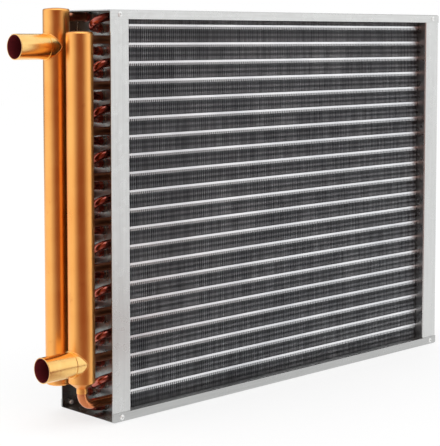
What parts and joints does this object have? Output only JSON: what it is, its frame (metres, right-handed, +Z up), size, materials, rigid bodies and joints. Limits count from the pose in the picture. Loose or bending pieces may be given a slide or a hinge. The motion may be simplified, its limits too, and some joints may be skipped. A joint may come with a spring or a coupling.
{
  "type": "water-to-air heat exchanger",
  "caption": "Flat upright finned copper coil in a galvanised sheet frame, with two copper headers at one end and a plain water port on each; air blows through it from face to face.",
  "frame": {"origin": "centre of the underside of the bottom channel, midway along the frame and midway through its depth", "axes": "+X along the fin face, away from the headers; +Y through the fins, from the face with the lower port's header to the other; +Z up"},
  "size_m": [0.6664, 0.0974, 0.462],
  "materials": {
    "header_copper": "bright drawn copper with faint heat tint",
    "tube_copper": "darker glossy drawn copper",
    "galvanised_steel": "matt zinc coating",
    "fin_aluminium": "bright rippled sheet",
    "rivet_steel": "plain"
  },
  "bodies": {
    "root": {"bottom_channel": "galvanised_steel", "bottom_elbow": "header_copper", "fin_pack": "fin_aluminium", "frame_rivets": "rivet_steel", "front_header": "header_copper", "front_stubs": "header_copper", "hairpin_front_1": "tube_copper", "hairpin_front_2": "tube_copper", "hairpin_front_3": "tube_copper", "hairpin_front_4": "tube_copper", "hairpin_front_5": "tube_copper", "hairpin_front_6": "tube_copper", "hairpin_front_7": "tube_copper", "hairpin_front_8": "tube_copper", "hairpin_front_9": "tube_copper", "hairpin_middle_1": "tube_copper", "hairpin_middle_2": "tube_copper", "hairpin_middle_3": "tube_copper", "hairpin_middle_4": "tube_copper", "hairpin_middle_5": "tube_copper", "hairpin_middle_6": "tube_copper", "hairpin_middle_7": "tube_copper", "hairpin_middle_8": "tube_copper", "hairpin_middle_9": "tube_copper", "hairpin_rear_1": "tube_copper", "hairpin_rear_2": "tube_copper", "hairpin_rear_3": "tube_copper", "hairpin_rear_4": "tube_copper", "hairpin_rear_5": "tube_copper", "hairpin_rear_6": "tube_copper", "hairpin_rear_7": "tube_copper", "hairpin_rear_8": "tube_copper", "hairpin_rear_9": "tube_copper", "left_tube_sheet": "galvanised_steel", "lower_port": "header_copper", "rear_header": "header_copper", "rear_stubs": "header_copper", "return_bend_front_1": "tube_copper", "return_bend_front_2": "tube_copper", "return_bend_front_3": "tube_copper", "return_bend_front_4": "tube_copper", "return_bend_front_5": "tube_copper", "return_bend_front_6": "tube_copper", "return_bend_front_7": "tube_copper", "return_bend_front_8": "tube_copper", "return_bend_front_9": "tube_copper", "return_bend_rear_1": "tube_copper", "return_bend_rear_2": "tube_copper", "return_bend_rear_3": "tube_copper", "return_bend_rear_4": "tube_copper", "return_bend_rear_5": "tube_copper", "return_bend_rear_6": "tube_copper", "return_bend_rear_7": "tube_copper", "return_bend_rear_8": "tube_copper", "return_bend_rear_9": "tube_copper", "right_tube_sheet": "galvanised_steel", "top_channel": "galvanised_steel", "upper_port": "header_copper"}
  },
  "joints": []
}
